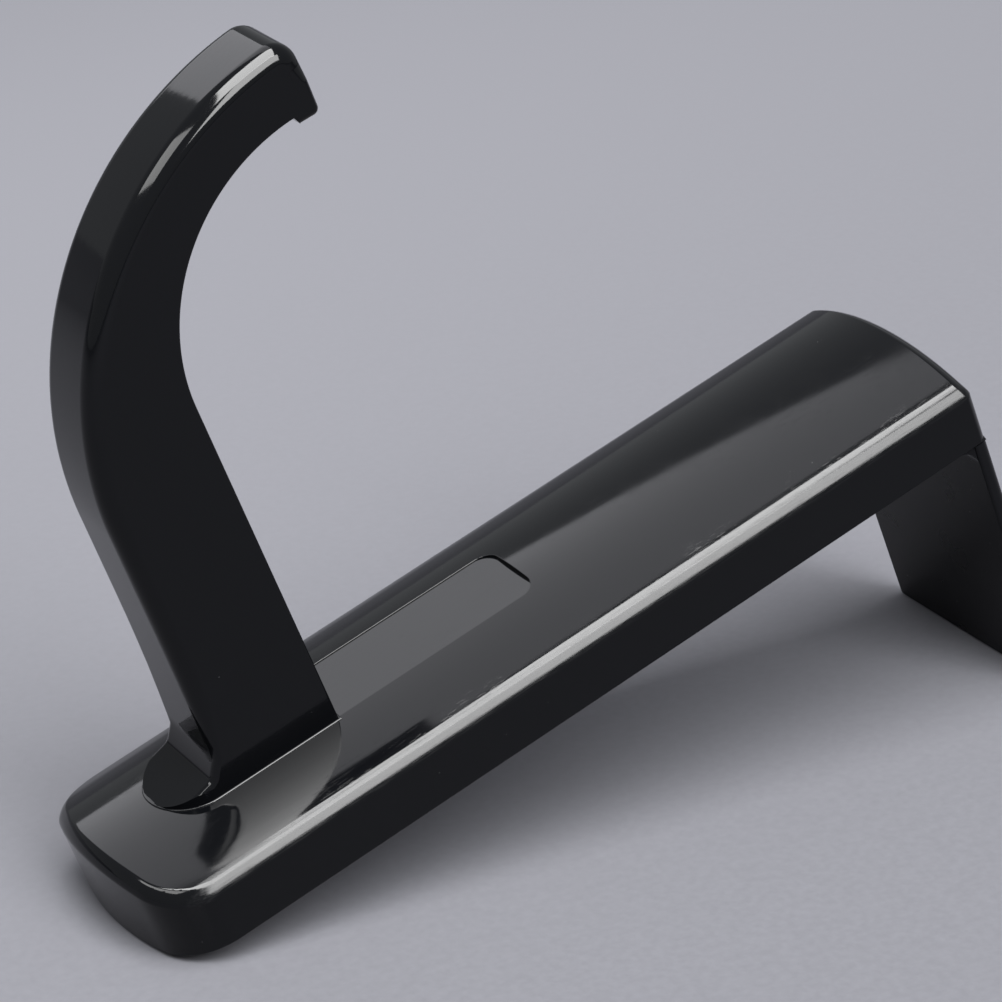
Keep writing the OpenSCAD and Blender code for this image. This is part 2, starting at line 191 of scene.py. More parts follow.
def hook_sizes():
    return in_millimetres(bpy.context.scene.stand_hook)


def lean():
    """The slope of the base when the stand rests on its nose and its leg, in radians."""
    b, leg = base_sizes(), leg_sizes()
    return math.atan2(leg.depth, b.length - leg.thickness)


def seat_matrix():
    """Takes a piece from its flat drawing, in millimetres, to its place in the frame, in metres."""
    nose_top = -base_sizes().crown * math.sin(lean()) * MM
    shift = Matrix.Translation((CAD_BOX[0].x - nose_top, 0, 0))
    return shift @ Matrix.Rotation(-lean(), 4, "Y") @ Matrix.Scale(MM, 4)


# ------------------------------------------------------------------ modelling helpers


def only(piece):
    """Leaves one object selected and active."""
    bpy.ops.object.select_all(action="DESELECT")
    piece.select_set(True)
    bpy.context.view_layer.objects.active = piece


def primitive(name, add, **settings):
    """Adds a primitive with nothing else selected, and names it."""
    bpy.ops.object.select_all(action="DESELECT")
    add(**settings)
    piece = bpy.context.object
    piece.name = piece.data.name = name
    return piece


def settle(piece):
    """Leaves an object's place, turn and scale in its mesh."""
    only(piece)
    bpy.ops.object.transform_apply(location=True, rotation=True, scale=True)
    return piece


class Editing:
    """Edit mode on one object, with its elements picked by a test on each."""

    def __init__(self, piece, mode="VERT"):
        self.piece, self.mode = piece, mode

    def __enter__(self):
        only(self.piece)
        bpy.ops.object.mode_set(mode="EDIT")
        bpy.ops.mesh.select_mode(type=self.mode)
        return self

    def __exit__(self, *problem):
        bpy.ops.object.mode_set(mode="OBJECT")

    def pick_all(self):
        bpy.ops.mesh.select_all(action="SELECT")

    def pick(self, test):
        """Selects the elements that pass the test, and returns how many there are."""
        bpy.ops.mesh.select_all(action="DESELECT")
        mesh = bmesh.from_edit_mesh(self.piece.data)
        kinds = {"VERT": mesh.verts, "EDGE": mesh.edges, "FACE": mesh.faces}
        count = 0
        for element in kinds[self.mode]:
            if test(element):
                element.select_set(True)
                count += 1
        mesh.select_flush_mode()
        bmesh.update_edit_mesh(self.piece.data)
        return count

    def slice(self, point, normal, test):
        """Divides the faces that pass the test along a plane."""
        self.pick(test)
        bpy.ops.mesh.bisect(plane_co=point, plane_no=normal)

    def slide(self, amount_of):
        """Moves vertices along Z by amount_of(place), in groups that move alike."""
        groups = {}
        for vertex in bmesh.from_edit_mesh(self.piece.data).verts:
            amount = round(amount_of(vertex.co), 5)
            if amount:
                groups.setdefault(amount, set()).add(vertex.index)
        for amount, members in groups.items():
            self.pick(lambda vertex: vertex.index in members)
            bpy.ops.transform.translate(value=(0, 0, amount))


def outline(name, start, strokes):
    """A flat face in the XY plane, drawn by strokes from a start.

    Each stroke is ("line", end) or ("arc", centre, degrees, steps), counter-clockwise above 0.
    """
    piece = primitive(name, bpy.ops.mesh.primitive_plane_add, size=1)
    with Editing(piece) as edit:
        edit.pick_all()
        bpy.ops.mesh.merge(type="CENTER")
        bpy.ops.transform.translate(value=(start[0], start[1], 0))
        at = Vector((start[0], start[1], 0))
        for kind, point, *turn in strokes:
            point = Vector((point[0], point[1], 0))
            if kind == "line":
                move = {"value": point - at}
                bpy.ops.mesh.extrude_vertices_move(TRANSFORM_OT_translate=move)
                at = point
            else:
                angle = math.radians(turn[0])
                bpy.ops.mesh.spin(steps=turn[1], angle=-angle, center=point, axis=(0, 0, 1))
                at = point + Matrix.Rotation(angle, 3, "Z") @ (at - point)
        edit.pick_all()
        bpy.ops.mesh.remove_doubles(threshold=MERGE_WITHIN)
        loose_ends = edit.pick(lambda vertex: len(vertex.link_edges) == 1)
        if loose_ends:
            bpy.ops.mesh.edge_face_add()
        edit.pick_all()
        bpy.ops.mesh.edge_face_add()
    return piece


def raise_up(piece, height):
    """Extrudes a flat outline along Z into a closed solid."""
    with Editing(piece, "FACE") as edit:
        edit.pick_all()
        move = {"value": (0, 0, height)}
        bpy.ops.mesh.extrude_region_move(TRANSFORM_OT_translate=move)
        edit.pick_all()
        bpy.ops.mesh.normals_make_consistent(inside=False)
    return piece


def place(piece, turn=(0, 0, 0), move=(0, 0, 0)):
    """Turns and moves an object, and leaves its place in its mesh."""
    piece.rotation_euler = [math.radians(angle) for angle in turn]
    piece.location = move
    return settle(piece)


def prism(name, start, strokes, height, low=0.0):
    """An outline drawn as X and Y, and raised from Z = low."""
    return place(raise_up(outline(name, start, strokes), height), move=(0, 0, low))


def block(name, low, high):
    """A box between two corners, from a cube."""
    middle = [(a + b) / 2 for a, b in zip(low, high)]
    piece = primitive(name, bpy.ops.mesh.primitive_cube_add, size=1, location=middle)
    piece.scale = [b - a for a, b in zip(low, high)]
    return settle(piece)


def rod(name, radius, start, end, steps, end_radius=None):
    """A cylinder or cone between two points, with this many sides."""
    start, end = Vector(start), Vector(end)
    along = end - start
    piece = primitive(
        name,
        bpy.ops.mesh.primitive_cone_add,
        vertices=steps,
        radius1=radius,
        radius2=radius if end_radius is None else end_radius,
        depth=along.length,
        location=(start + end) / 2,
        rotation=along.to_track_quat("Z", "Y").to_euler(),
    )
    return settle(piece)


def apply(piece, kind, **settings):
    """Adds a modifier with these settings and applies it."""
    only(piece)
    modifier = piece.modifiers.new(kind.title(), kind)
    for key, value in settings.items():
        setattr(modifier, key, value)
    bpy.ops.object.modifier_apply(modifier=modifier.name)


def combine(piece, other, operation):
    """Joins, cuts or intersects a piece with another solid, which is used up."""
    apply(piece, "BOOLEAN", object=other, operation=operation, solver="EXACT")
    bpy.data.objects.remove(other)
    with Editing(piece) as edit:
        edit.pick_all()
        bpy.ops.mesh.dissolve_degenerate(threshold=MERGE_WITHIN)
    return piece


def round_edges(piece, radius_of, segments=8, profile=0.5):
    """Rolls each edge for which radius_of(edge) gives a radius.

    A profile of 0.5 is round, and one of 0.25 is a flat chamfer.
    """
    mesh = bmesh.new()
    mesh.from_mesh(piece.data)
    mesh.edges.ensure_lookup_table()
    offsets = {}
    for edge in mesh.edges:
        if len(edge.link_faces) == 2:
            turn = min(edge.calc_face_angle(0), SHARPEST)
            offsets[edge.index] = radius_of(edge) * math.tan(turn / 2)
    widest = max(offsets.values())
    if not widest:
        raise RuntimeError(f"{piece.name} has no edge to round")
    layer = mesh.edges.layers.float.new("bevel_weight_edge")
    for edge in mesh.edges:
        edge[layer] = offsets.get(edge.index, 0) / widest
    mesh.to_mesh(piece.data)
    mesh.free()
    how = {"limit_method": "WEIGHT", "use_clamp_overlap": False, "profile": profile}
    apply(piece, "BEVEL", width=widest, segments=segments, **how)
    piece.data.attributes.remove(piece.data.attributes["bevel_weight_edge"])


def middle_of(edge):
    return (edge.verts[0].co + edge.verts[1].co) / 2


def facing(edge, one, two):
    """Whether an edge's two faces pass the two tests, either way round."""
    a, b = [face.normal for face in edge.link_faces]
    return (one(a) and two(b)) or (one(b) and two(a))


def is_top_edge(edge):
    """Whether an edge runs between a face that looks up and one that looks sideways."""
    return facing(edge, lambda normal: normal.z > 0.9, lambda normal: abs(normal.z) < 0.1)


def is_sharp(edge, angle=1.0):
    """Whether an edge's faces meet at more than an angle, in radians."""
    return edge.calc_face_angle(0) > angle


def fade(value, start, span):
    """0 up to a start, then evenly up to 1 over a span."""
    return min(1, max(0, (value - start) / span))


def blend(low, high, share):
    """The number that is this share of the way from low to high."""
    return low + (high - low) * share


def finish_piece(piece, node_names, slot_name):
    """Seats a finished piece in the frame, gives it its finish and hides the CAD parts that it
    replaces.
    """
    with Editing(piece) as edit:
        edit.pick_all()
        bpy.ops.mesh.remove_doubles(threshold=MERGE_WITHIN)
    piece.matrix_world = seat_matrix()
    settle(piece)
    bpy.ops.object.shade_smooth_by_angle(angle=math.radians(SMOOTH_BELOW))
    apply(piece, "WEIGHTED_NORMAL", mode="FACE_AREA_WITH_ANGLE", weight=60, keep_sharp=True)
    piece.data.materials.clear()
    piece.data.materials.append(finish(slot_name))
    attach(piece, BODY)
    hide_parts(*node_names)


# ------------------------------------------------------------------ shader helpers


class Signal:
    """A shader socket that can be used in sums. Each operation adds a Math node."""

    def __init__(self, shader, socket):
        self.shader, self.socket = shader, socket

    def maths(self, operation, one, two, **settings):
        return self.shader.add("ShaderNodeMath", {0: one, 1: two}, operation=operation, **settings)

    def __add__(self, other):
        return self.maths("ADD", self, other)

    def __sub__(self, other):
        return self.maths("SUBTRACT", self, other)

    def __rsub__(self, other):
        return self.maths("SUBTRACT", other, self)

    def __mul__(self, other):
        return self.maths("MULTIPLY", self, other)

    __radd__ = __add__
    __rmul__ = __mul__

    def clamped(self):
        """The same signal, kept between 0 and 1."""
        return self.maths("ADD", self, 0.0, use_clamp=True)

    def between(self, low, high):
        """0 below low, 1 above high, and smooth between them."""
        inputs = {"Value": self, "From Min": low, "From Max": high}
        return self.shader.add("ShaderNodeMapRange", inputs, interpolation_type="SMOOTHSTEP")


class Shader:
    """A material of one Principled surface, with its nodes added by method calls."""

    def __init__(self, name, **constants):
        self.material = bpy.data.materials.new(name)
        self.material.use_nodes = True
        self.tree = self.material.node_tree
        self.surface = self.tree.nodes["Principled BSDF"]
        for key, value in constants.items():
            self.surface.inputs[key.replace("_", " ")].default_value = value

    def add(self, kind, inputs=None, output=None, **settings):
        """Adds a node with these settings, feeds its sockets and returns an output.

        That is the output named, or the first one in use.
        """
        node = self.tree.nodes.new(kind)
        for key, value in settings.items():
            setattr(node, key, value)
        for key, value in (inputs or {}).items():
            self.feed(node.inputs[key], value)
        if output is not None:
            return Signal(self, node.outputs[output])
        return Signal(self, next(socket for socket in node.outputs if socket.enabled))

    def feed(self, socket, value):
        """Links a signal to a socket, or sets the socket's value."""
        if isinstance(value, Signal):
            self.tree.links.new(value.socket, socket)
        else:
            socket.default_value = value

    def set(self, socket, value):
        self.feed(self.surface.inputs[socket], value)

    def mix_colour(self, low, high, share):
        """The first colour where share is 0, and the second where it is 1."""
        low, high = [end if isinstance(end, Signal) else (*end, 1) for end in (low, high)]
        factor, colour_a, colour_b, colour_result = 0, 6, 7, 2
        inputs = {factor: share, colour_a: low, colour_b: high}
        return self.add("ShaderNodeMix", inputs, colour_result, data_type="RGBA")

    def flat_place(self, stretch=(1, 1, 1), turn=(0, 0, 0)):
        """Places on the piece in millimetres, in its flat drawing's axes, scaled by stretch."""
        seated = self.add("ShaderNodeTexCoord", output="Object")
        flat = self.add("ShaderNodeMapping", {"Vector": seated, "Rotation": (0, lean(), 0)})
        rotation = [math.radians(angle) for angle in turn]
        scale = [share / MM for share in stretch]
        inputs = {"Vector": flat, "Rotation": rotation, "Scale": scale}
        return self.add("ShaderNodeMapping", inputs)

    def noise(self, scale, detail, stretch=(1, 1, 1), turn=(0, 0, 0)):
        """Noise whose features are about 1 / scale millimetres across."""
        inputs = {"Vector": self.flat_place(stretch, turn), "Scale": scale, "Detail": detail}
        return self.add("ShaderNodeTexNoise", inputs)

    def cells(self, scale):
        """Distance to the nearest of scattered points, about 1 / scale millimetres apart."""
        return self.add("ShaderNodeTexVoronoi", {"Vector": self.flat_place(), "Scale": scale})

    def painted(self, name):
        """A number painted on the piece's points."""
        return self.add("ShaderNodeAttribute", output="Fac", attribute_name=name)

    def bump(self, height, distance, below=None):
        """A bump of this height map, its distance in millimetres, on top of another one."""
        inputs = {"Height": height, "Distance": distance * MM}
        if below is not None:
            inputs["Normal"] = below
        return self.add("ShaderNodeBump", inputs)


# ------------------------------------------------------------------ materials


def dust_specks(shader, scale, share):
    """Small round specks, scattered thinly."""
    spot = 1 - shader.cells(scale).between(0.03, 0.08)
    patch = shader.noise(0.5, 1).between(1 - share, 1.05 - share)
    return spot * patch


def fine_scratches(shader, turn, amount):
    """Long thin scuffs that lie one way."""
    lines = shader.noise(9, 1, stretch=(0.05, 1, 1), turn=(0, 0, turn)).between(0.66, 0.70)
    patch = shader.noise(0.12, 2, turn=(0, 0, turn)).between(0.48, 0.62)
    return lines * patch * amount


def gloss_plastic():
    """Polished black plastic: flow streaks, smudges, scratches, dust, and scuffs where worn."""
    colours = bpy.context.scene.stand_colours
    shader = Shader("gloss_black_plastic", IOR=1.46, Specular_IOR_Level=0.27)
    worn = shader.painted("worn")
    smudge = shader.noise(0.09, 4).between(0.42, 0.70)
    streak = shader.noise(1.1, 3, stretch=(0.06, 1, 1))
    scratch = (fine_scratches(shader, 4, 1.0) + fine_scratches(shader, -17, 0.7)).clamped()
    grit = shader.noise(7, 3, stretch=(0.05, 1, 1)).between(0.35, 0.75)
    specks = dust_specks(shader, 1.3, 0.30)
    dusty = specks * 0.3 + worn * grit * 0.008
    shader.set("Base Color", shader.mix_colour(colours.gloss, colours.dust, dusty))
    handled = 0.06 + smudge * 0.03 + streak * 0.015
    scuffed = scratch * 0.06
    roughness = handled + scuffed + worn * (0.06 + grit * 0.12)
    shader.set("Roughness", (roughness + specks * 0.3).clamped())
    flow = shader.bump(streak, 0.004)
    shader.set("Normal", shader.bump(scratch + worn * grit * 0.6, -0.001, below=flow))
    return shader.material


def satin_plastic():
    """Satin black plastic with an even, fine sparked texture."""
    colours = bpy.context.scene.stand_colours
    shader = Shader("satin_black_plastic", IOR=1.46, Specular_IOR_Level=0.18)
    grain = shader.noise(7, 3)
    cloud = shader.noise(0.15, 3).between(0.35, 0.7)
    specks = dust_specks(shader, 1.1, 0.40)
    shader.set("Base Color", shader.mix_colour(colours.satin, colours.dust, specks * 0.5))
    shader.set("Roughness", (0.2 + cloud * 0.08 + specks * 0.3).clamped())
    shader.set("Normal", shader.bump(grain, 0.012))
    return shader.material


def plated_steel():
    """Zinc-plated steel with a fine turned grain."""
    colours = bpy.context.scene.stand_colours
    shader = Shader("plated_steel", Metallic=1.0)
    grain = shader.noise(9, 3)
    stain = shader.noise(0.9, 3).between(0.45, 0.75)
    shader.set("Base Color", shader.mix_colour(colours.steel, (0.42, 0.41, 0.38), stain * 0.6))
    shader.set("Roughness", 0.26 + grain * 0.14 + stain * 0.12)
    shader.set("Normal", shader.bump(grain, 0.01))
    return shader.material


def closed_foam():
    """Dense closed-cell foam, with its cut cells showing."""
    colours = bpy.context.scene.stand_colours
    shader = Shader("closed_foam")
    cells = shader.cells(4.2)
    mottle = shader.noise(0.6, 3)
    shader.set("Base Color", shader.mix_colour(colours.foam, (0.075, 0.077, 0.082), cells * mottle))
    shader.set("Roughness", 0.82 + mottle * 0.12)
    shader.set("Normal", shader.bump(cells, 0.08))
    return shader.material


def release_film():
    """Waxed release film with faint creases."""
    colours = bpy.context.scene.stand_colours
    shader = Shader("release_film", IOR=1.45)
    crease = shader.noise(0.22, 4, stretch=(1, 0.4, 1), turn=(0, 0, 35))
    fibre = shader.noise(3, 3)
    shader.set("Base Color", shader.mix_colour(colours.liner, (0.66, 0.70, 0.74), fibre * 0.5))
    shader.set("Roughness", 0.28 + crease * 0.22)
    shader.set("Normal", shader.bump(crease, 0.25, below=shader.bump(fibre, 0.01)))
    return shader.material


def plain_ground():
    """A plain pale floor with a very faint grain, dimmed by painted shade near the stand and
    brightened by painted light far behind it.
    """
    colours = bpy.context.scene.stand_colours
    shader = Shader("plain_floor", Roughness=1.0, Specular_IOR_Level=0.0)
    grain = shader.noise(0.8, 3)
    depth = shader.add("ShaderNodeSeparateXYZ", {"Vector": shader.flat_place()}, "Y")
    # Painted light: the brightened far tone takes over from the stand towards the back of the floor
    behind = depth.between(-130, 330)
    # Painted shade near the stand and painted light far behind it, in place of the lamps' fall-off;
    # the grain mixes the two near tones
    shaded_dark_grain, shaded_pale_grain, painted_far_light = [
        tuple(share * part for part in colours.ground) for share in (0.77, 0.95, 1.36)
    ]
    near = shader.mix_colour(shaded_dark_grain, shaded_pale_grain, grain)
    shader.set("Base Color", shader.mix_colour(near, painted_far_light, behind))
    return shader.material


MAKERS = {
    "gloss_black": gloss_plastic,
    "satin_black": satin_plastic,
    "plated_steel": plated_steel,
    "foam": closed_foam,
    "liner": release_film,
}
made = {}


def finish(slot_name):
    """The material for a slot of the record, made once."""
    if slot_name not in made:
        made[slot_name] = MAKERS[slot_name]()
    return made[slot_name]


def paint(piece, name, value_of):
    """Paints a number on each point of a piece by a rule on its place."""
    attribute = piece.data.attributes.new(name, "FLOAT", "POINT")
    attribute.data.foreach_set("value", [value_of(vertex) for vertex in piece.data.vertices])


# ------------------------------------------------------------------ base shell


# Between a round edge, 0.5, and a chamfer, 0.25
ROLL_PROFILE = 0.38


def crown_drop(b, y):
    """How far the crown lies below its middle at a distance y from it."""
    return b.arc - math.sqrt(b.arc**2 - y**2)


def crown_over(piece, b, top):
    """Cuts a flat-topped solid into strips along X and lowers them onto the crown's curve."""
    strip, uncut_border, lowered_depth = 0.6, 1.1, 3
    widest = max(vertex.co.y for vertex in piece.data.vertices)
    strips = int((widest - uncut_border) / strip)
    with Editing(piece, "FACE") as edit:
        for step in range(-strips, strips + 1):
            edit.slice((0, step * strip, 0), (0, 1, 0), lambda face: face.normal.z > 0.02)
    with Editing(piece) as edit:
        edit.slide(lambda co: -crown_drop(b, co.y) if co.z > top - lowered_depth else 0)
    return piece


def crowned_block(name, b, inset, low, end):
    """Solid with the base's bowed nose and crowned top, inset by a wall thickness."""
    top = b.crown - inset
    return crown_over(prism(name, *nose_plan(b, inset, end), top - low, low), b, top)


def nose_plan(b, inset, end):
    """Outline of the base in plan: its bowed nose, two round corners and straight sides."""
    half = b.half - inset
    bow_turn = math.degrees(math.atan2(b.corner_y, b.nose_bow - b.corner_x))
    return (
        (end, -half),
        [
            ("line", (b.corner_x, -half)),
            ("arc", (b.corner_x, -b.corner_y), bow_turn - 90, 20),
            ("arc", (b.nose_bow, 0), -2 * bow_turn, 40),
            ("arc", (b.corner_x, b.corner_y), bow_turn - 90, 20),
            ("line", (end, half)),
        ],
    )


def round_rectangle(low, high, width, corner):
    """Outline of a round-cornered rectangle from X = low to high, centred on Y = 0."""
    half, steps = width / 2, 12
    left, right, side = low + corner, high - corner, half - corner
    return (
        (left, -half),
        [
            ("line", (right, -half)),
            ("arc", (right, -side), 90, steps),
            ("line", (high, side)),
            ("arc", (right, side), 90, steps),
            ("line", (left, half)),
            ("arc", (left, side), 90, steps),
            ("line", (low, -side)),
            ("arc", (left, -side), 90, steps),
        ],
    )


def label_recess_cutter(b, start):
    """Flat-bottomed solid that sinks the label recess into the crown."""
    half, corner, end = b.recess_width / 2, b.recess_corner, b.recess_end
    strokes = [
        ("line", (end - corner, -half)),
        ("arc", (end - corner, corner - half), 90, 10),
        ("line", (end, half - corner)),
        ("arc", (end - corner, half - corner), 90, 10),
        ("line", (start, half)),
    ]
    return prism("recess", (start, -half), strokes, b.crown, b.crown - b.recess_depth)


def rim_radius(b, edge):
    """Radius of an edge of the uncut base: the roll round its top, or a corner below it."""
    middle = middle_of(edge)
    at_end = middle.x > b.length - NEAR
    if is_top_edge(edge):
        along_nose = fade(middle.x, 1, b.corner_x - 1)
        return b.end_roll if at_end else blend(b.nose_roll, b.side_roll, along_nose)
    if middle.z < 0.01:
        return 0.2
    return b.end_corner if at_end else 0


def recess_radius(b, hook, edge):
    """Radius of the label recess's rim. Other edges have none."""
    middle, slack = middle_of(edge), NEAR / 2
    beside = abs(middle.y) < b.recess_width / 2 + slack
    along = hook.cradle - 0.3 < middle.x < b.recess_end + slack
    at_rim = middle.z > b.crown - crown_drop(b, middle.y) - slack
    return 0.08 if along and beside and at_rim and is_sharp(edge) else 0


def rim_wear(b, place_on):
    """How scuffed a place on the shell is: 1 on the rolled edge of the sides, 0 elsewhere."""
    x, y, z = place_on
    on_roll = abs(y) > b.half - b.side_roll - 0.02 and z > b.side - b.side_roll - NEAR
    return fade(x, 2, 6) if on_roll else 0.0


class STAND_OT_base_shell(bpy.types.Operator):
    """Models the crowned shell of the base, with its rolled rim and bare label recess"""

    bl_idname = "stand.base_shell"
    bl_label = "Base Shell"

    def execute(self, context):
        b, leg, hook = base_sizes(), leg_sizes(), hook_sizes()

        shell = prism("base_shell_moulding", *nose_plan(b, 0, b.length), b.crown)
        round_edges(shell, lambda edge: rim_radius(b, edge), profile=ROLL_PROFILE)
        with Editing(shell, "FACE") as edit:
            below_roll = (0, 0, b.crown - b.side_roll - 0.3)
            edit.slice(below_roll, (0, 0, 1), lambda face: abs(face.normal.z) < 0.01)
        crown_over(shell, b, b.crown)
        below_rim, end_wall = -1, b.length - leg.thickness
        combine(shell, crowned_block("cavity", b, b.wall, below_rim, end_wall), "DIFFERENCE")
        under_foot = hook.cradle + hook.foot_lean - 0.2
        combine(shell, label_recess_cutter(b, under_foot), "DIFFERENCE")
        round_edges(shell, lambda edge: recess_radius(b, hook, edge), 3)
        paint(shell, "worn", lambda vertex: rim_wear(b, vertex.co))
        finish_piece(shell, ["base_shell"], "gloss_black")
        return {"FINISHED"}


# ------------------------------------------------------------------ hook


# The ramp behind the foot: its slopes at its ends, and its circle's lowest point from toe and crown
RAMP_START, RAMP_END = math.radians(16), math.radians(58)
RAMP_ALONG, RAMP_ABOVE = 5.84, 1.75
# The end face is drawn in short steps, along which its rounding can change
END_STEP = 0.6


def hook_profile(b, h):
    """Side outline of the hook, drawn with Z as its Y, from the toe up over the tip and back."""
    spine_x = h.spine + h.spine_radius
    cradle_x = h.cradle + h.cradle_radius
    lip_x = h.tip - h.tip_wall
    lip_z = h.cradle_bend + h.cradle_radius - h.tip_lip
    corner_x = h.tip - h.tip_round
    from_spine = math.acos((corner_x - spine_x) / (h.spine_radius - h.tip_round))
    corner_z = h.spine_bend + (h.spine_radius - h.tip_round) * math.sin(from_spine)
    ramp_x, ramp_z = h.toe + RAMP_ALONG, b.crown + RAMP_ABOVE + h.ramp
    ramp_foot = (ramp_x + h.ramp * math.sin(RAMP_START), ramp_z - h.ramp * math.cos(RAMP_START))
    flare_x = h.spine - h.flare
    flare_turn = math.asin((h.flare_top - h.flare_low) / h.flare)
    end_z = lip_z + h.end_round
    lip_top = lip_x - h.lip_lean
    lip_turn = math.degrees(math.acos((lip_top - cradle_x) / h.cradle_radius))
    lip_top_z = h.cradle_bend + h.cradle_radius * math.sin(math.radians(lip_turn))
    return (
        (h.toe, b.side),
        [
            ("line", (h.toe, b.crown)),
            ("line", ramp_foot),
            ("arc", (ramp_x, ramp_z), math.degrees(RAMP_END - RAMP_START), 12),
            ("line", (flare_x + h.flare * math.cos(flare_turn), h.flare_low)),
            ("arc", (flare_x, h.flare_top), math.degrees(flare_turn), 12),
            ("line", (h.spine, h.spine_bend)),
            ("arc", (spine_x, h.spine_bend), math.degrees(from_spine) - 180, 72),
            ("arc", (corner_x, corner_z), -math.degrees(from_spine), 10),
            *(("line", (h.tip, corner_z - END_STEP * step)) for step in range(1, 6)),
            ("line", (h.tip, end_z)),
            ("arc", (h.tip - h.end_round, end_z), -90, 6),
            ("line", (lip_x, lip_z)),
            ("line", (lip_top, lip_top_z)),
            ("arc", (cradle_x, h.cradle_bend), 180 - lip_turn, 56),
            ("line", (h.cradle + h.foot_lean, b.side)),
        ],
    )


def toe_plan(h, grow, end):
    """Outline of the hook's foot in plan, grown by a flange, with two round corners at the toe."""
    toe, corner, half = h.toe - grow, h.toe_corner + grow, h.foot_width / 2 + grow
    return (
        (toe + corner, -half),
        [
            ("line", (end, -half)),
            ("line", (end, half)),
            ("line", (toe + corner, half)),
            ("arc", (toe + corner, half - corner), 90, 14),
            ("line", (toe, corner - half)),
            ("arc", (toe + corner, corner - half), 90, 14),
        ],
    )


def upright(name, start, strokes, width):
    """A side outline extruded across the base, centred on Y = 0."""
    return place(prism(name, start, strokes, width), turn=(90, 0, 0), move=(0, width / 2, 0))


def cradle_strip(name, h, outer, inner, low, end, width):
    """A strip that follows the headband edge, between two depths behind it."""
    cradle_x = h.cradle + h.cradle_radius
    far, near = h.cradle_radius + inner, h.cradle_radius + outer
    far_turn = math.degrees(math.acos((end - cradle_x) / far))
    far_z = h.cradle_bend + math.sqrt(far**2 - (end - cradle_x) ** 2)
    near_turn = math.degrees(math.acos((end - cradle_x) / near))
    strokes = [
        ("line", (h.cradle - inner, h.cradle_bend)),
        ("arc", (cradle_x, h.cradle_bend), far_turn - 180, 56),
        ("line", (end, h.cradle_bend + math.sqrt(near**2 - (end - cradle_x) ** 2))),
        ("arc", (cradle_x, h.cradle_bend), 180 - near_turn, 56),
        ("line", (h.cradle - outer, low)),
    ]
    return upright(name, (h.cradle - inner, low), strokes, width)


def trim_sides(hook, b, h):
    """Trims the hook's two sides to their moulding draft."""
    rise = h.spine_bend + h.spine_radius - b.crown
    draft = (h.foot_width - h.tip_width) / 2 / rise
    with Editing(hook, "FACE") as edit:
        for side in (-1, 1):
            edit.pick_all()
            bpy.ops.mesh.bisect(
                plane_co=(0, side * h.foot_width / 2, b.crown),
                plane_no=(0, side, draft),
                use_fill=True,
                clear_outer=True,
            )
        edit.pick_all()
        bpy.ops.mesh.normals_make_consistent(inside=False)


def hook_radius(b, h, edge):
    """Radius of an edge of the hook: widest along the spine, least along the headband edge."""
    middle = middle_of(edge)
    end_wall_x = h.tip - h.tip_wall
    if not facing(edge, lambda normal: abs(normal.y) > 0.9, lambda normal: abs(normal.y) < 0.1):
        at_lip = middle.x > end_wall_x - h.lip_lean - NEAR and is_sharp(edge, 0.9)
        return 0.25 if at_lip else 0
    if middle.z < b.crown:
        return 0
    lip_z = h.cradle_bend + h.cradle_radius - h.tip_lip
    if middle.x > end_wall_x + 0.01 and middle.z < lip_z + h.end_round - 0.01:
        return h.end_round
    if middle.x > h.tip - 0.001:
        below = h.spine_bend + h.spine_radius - h.tip_round - middle.z
        return blend(h.spine_round, h.end_round, fade(below, 0, 3))
    from_centre = (middle.x - h.cradle - h.cradle_radius, middle.z - h.cradle_bend)
    on_cradle = math.hypot(*from_centre) < h.cradle_radius + NEAR
    below_cradle = middle.z < h.cradle_bend and middle.x > h.cradle - NEAR
    if on_cradle or below_cradle:
        return 0.3
    return blend(h.foot_round, h.spine_round, fade(middle.z, h.flare_low, 10))


def foot_flange(b, h):
    """The thin flange round the hook's foot, which follows the crown."""
    top = b.crown + h.flange_height
    end = h.cradle + h.foot_lean + h.flange
    flange = prism("flange", *toe_plan(h, h.flange, end), top - b.side, b.side)
    round_edges(flange, lambda edge: h.flange_height if is_top_edge(edge) else 0, 5)
    return crown_over(flange, b, top)


class STAND_OT_hook(bpy.types.Operator):
    """Models the upright that curves over into the headband hook, and its cover"""

    bl_idname = "stand.hook"
    bl_label = "Headband Hook"

    def execute(self, context):
        b, h = base_sizes(), hook_sizes()
        spare_width, spare_height, sink = 4, 200, 0.03
        hook = upright("hook_moulding", *hook_profile(b, h), h.foot_width + spare_width)
        trim_sides(hook, b, h)
        round_edges(hook, lambda edge: hook_radius(b, h, edge))
        past_tip = h.tip + 2
        combine(hook, prism("toe_plan", *toe_plan(h, 0, past_tip), spare_height), "INTERSECT")
        combine(hook, foot_flange(b, h), "UNION")
        bed_ends = (0, 0, b.arc_centre), (h.tip, 0, b.arc_centre)
        combine(hook, rod("bed", b.arc - sink, *bed_ends, 720), "DIFFERENCE")

        channel = h.tip_width - 2 * h.side_wall - 0.3
        groove_end = h.tip - h.tip_wall - h.lip_lean
        depth = h.cover + h.cover_set
        before_edge = -1.5
        groove = cradle_strip("groove", h, before_edge, depth, h.web, groove_end, channel)
        combine(hook, groove, "DIFFERENCE")
        finish_piece(hook, ["hook"], "gloss_black")

        gap, floor_gap = 0.12, 0.05
        low, end, width = h.web + gap, groove_end - gap, channel - 2 * gap
        outer, inner = h.cover_set, depth - floor_gap
        cover = cradle_strip("headband_cover_strip", h, outer, inner, low, end, width)
        round_edges(cover, lambda edge: 0.3 if is_sharp(edge) else 0, 4)
        finish_piece(cover, ["headband_cover"], "satin_black")
        return {"FINISHED"}


# ------------------------------------------------------------------ leg bracket


